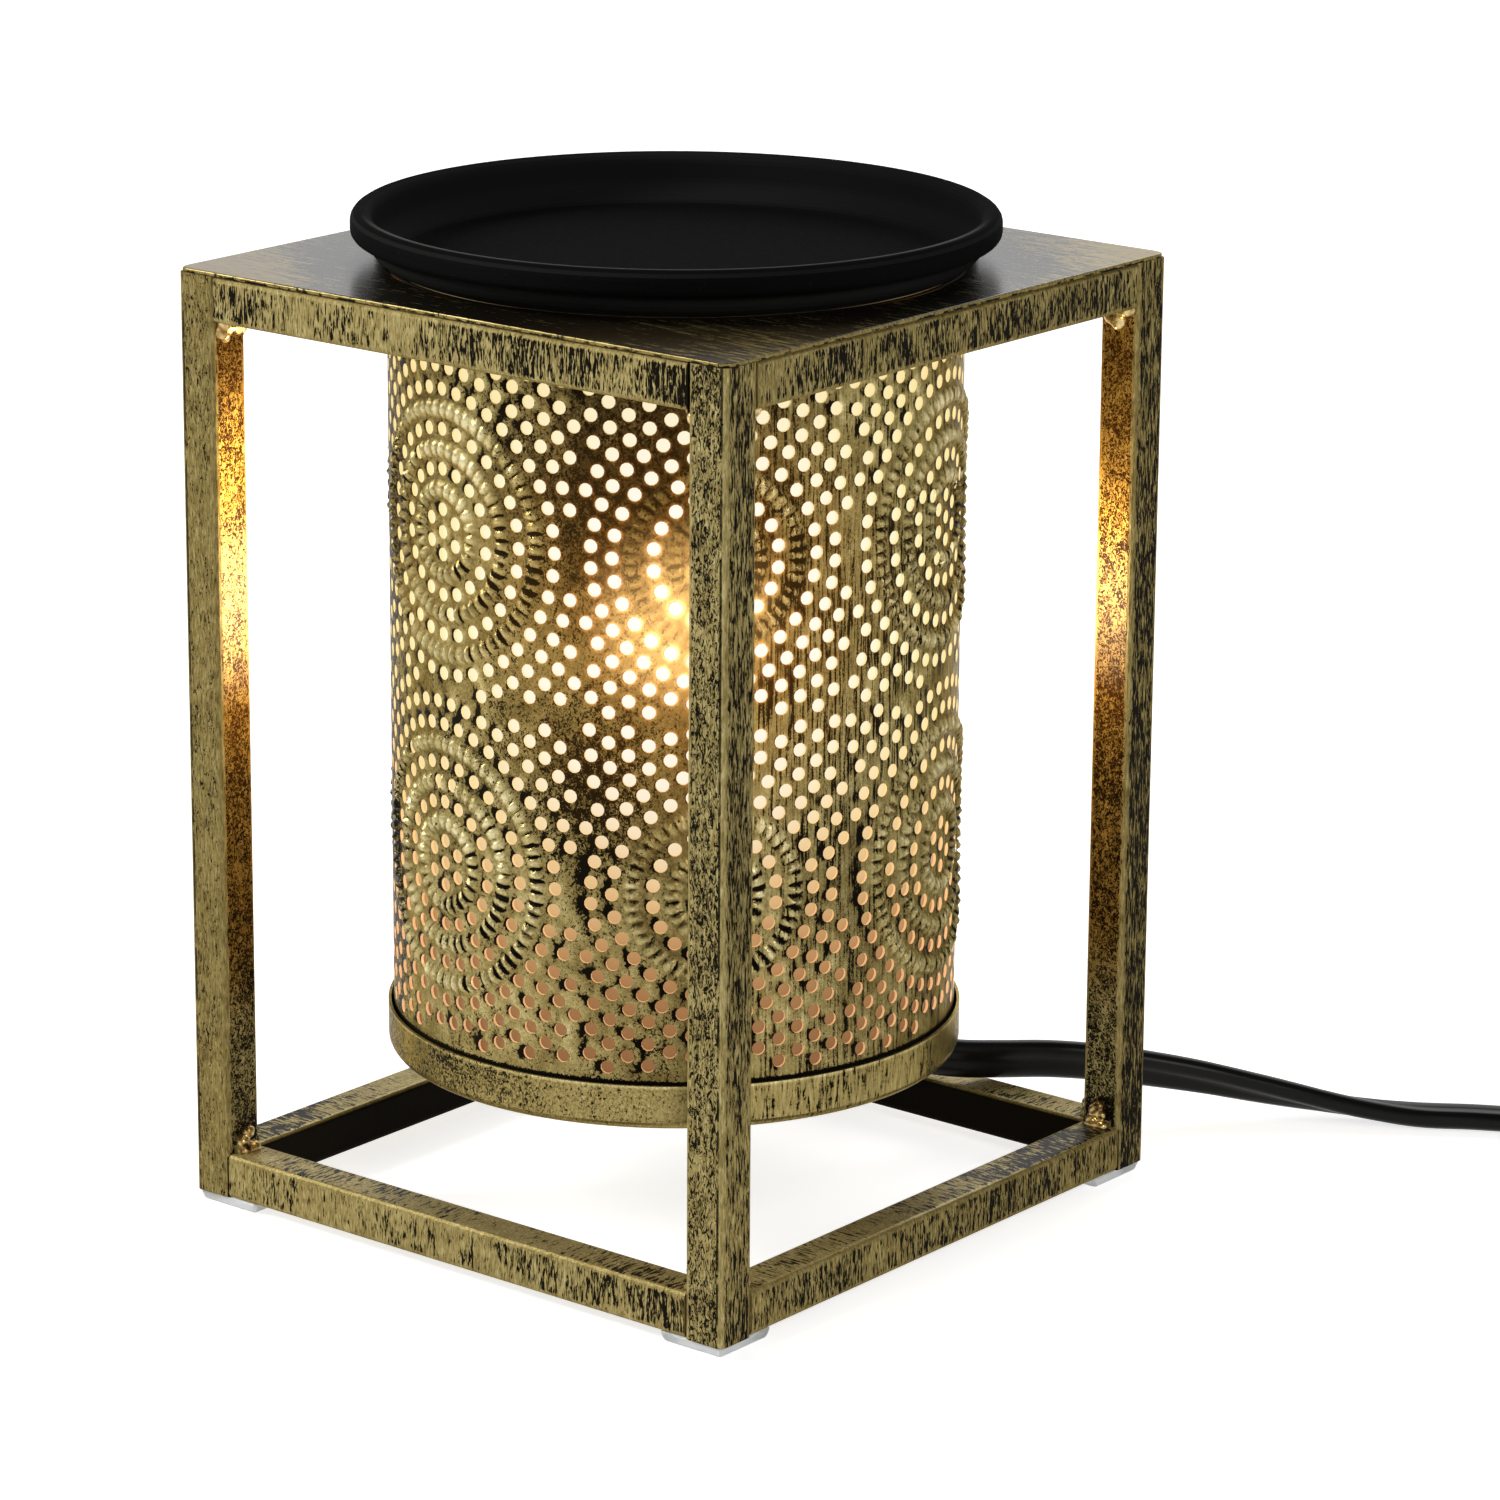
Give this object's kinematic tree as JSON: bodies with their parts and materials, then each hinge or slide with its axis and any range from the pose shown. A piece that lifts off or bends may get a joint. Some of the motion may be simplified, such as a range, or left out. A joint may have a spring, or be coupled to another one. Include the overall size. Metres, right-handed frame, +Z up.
{
  "type": "electric wax warmer",
  "caption": "Electric wax warmer: a punched metal lantern in a square tube frame, with a lift-off dish over a reflector lamp, and a flat cord with inline switch and plug.",
  "frame": {"origin": "on the floor under the middle of the square frame", "axes": "+Z up, X and Y along the sides of the frame, -Y the front; the post that stands nearest in the picture is at +X -Y"},
  "size_m": [0.3207, 0.1971, 0.177],
  "materials": {
    "frame_gold": "antique gold dry-brushed over black, satin",
    "plate_gold": "antique gold brushed thinly over black, satin",
    "shade_gold": "antique gold brushed over black, satin",
    "dish_black": "satin black",
    "liner_cream": "translucent, matte",
    "steel": "zinc plated",
    "brass": "plain",
    "ceramic": "white ceramic, smooth",
    "wire_sleeve": "woven glass-fibre sleeve",
    "glass": "clear",
    "gland_black": "satin black",
    "cord_black": "soft black PVC, satin",
    "tie_black": "matte",
    "foot_clear": "translucent, soft"
  },
  "bodies": {
    "frame": {"post_front_right": "frame_gold", "post_front_left": "frame_gold", "post_back_right": "frame_gold", "post_back_left": "frame_gold", "top_rail_front": "frame_gold", "top_rail_back": "frame_gold", "top_rail_right": "frame_gold", "top_rail_left": "frame_gold", "bottom_rail_front": "frame_gold", "bottom_rail_back": "frame_gold", "bottom_rail_right": "frame_gold", "bottom_rail_left": "frame_gold", "weld_beads": "frame_gold", "top_plate": "plate_gold", "foot_front_right": "foot_clear", "foot_front_left": "foot_clear", "foot_back_right": "foot_clear", "foot_back_left": "foot_clear", "shade": "shade_gold", "diffuser_liner": "liner_cream", "base_cup": "shade_gold", "shade_clips": "steel", "floor_screws": "steel", "floor_nuts": "steel", "lamp_bracket": "steel", "lamp_holder": "ceramic", "holder_contacts": "brass", "holder_screws": "steel", "holder_nuts": "steel", "lamp_wires": "wire_sleeve", "cord_gland": "gland_black", "gland_nut": "gland_black", "cord_run": "cord_black", "cord_lead": "cord_black", "cord_coil": "cord_black", "cord_tail": "cord_black", "coil_tie": "tie_black", "switch_lower": "gland_black", "switch_upper": "gland_black", "switch_contacts": "brass", "switch_screws": "steel", "plug_body": "gland_black", "plug_blades": "brass"},
    "dish": {"wax_dish": "dish_black"},
    "lamp": {"bulb_base": "ceramic", "bulb_pins": "steel", "bulb_reflector": "glass", "bulb_lens": "glass", "bulb_capsule": "glass"},
    "rocker": {"switch_rocker": "gland_black"}
  },
  "joints": [
    {"name": "dish_lift", "type": "slide", "parent": "frame", "child": "dish", "axis": [0, 0, 1], "range_m": [0, 0.05]},
    {"name": "lamp_twist", "type": "hinge", "parent": "frame", "child": "lamp", "pos_m": [0, 0, 0.0708], "axis": [0, 0, 1], "range_deg": [0, 20]},
    {"name": "rocker_tilt", "type": "hinge", "parent": "frame", "child": "rocker", "pos_m": [0.16281, 0.1239, 0.0118], "axis": [0.1191, 0.9929, 0], "range_deg": [-18, 0]}
  ]
}
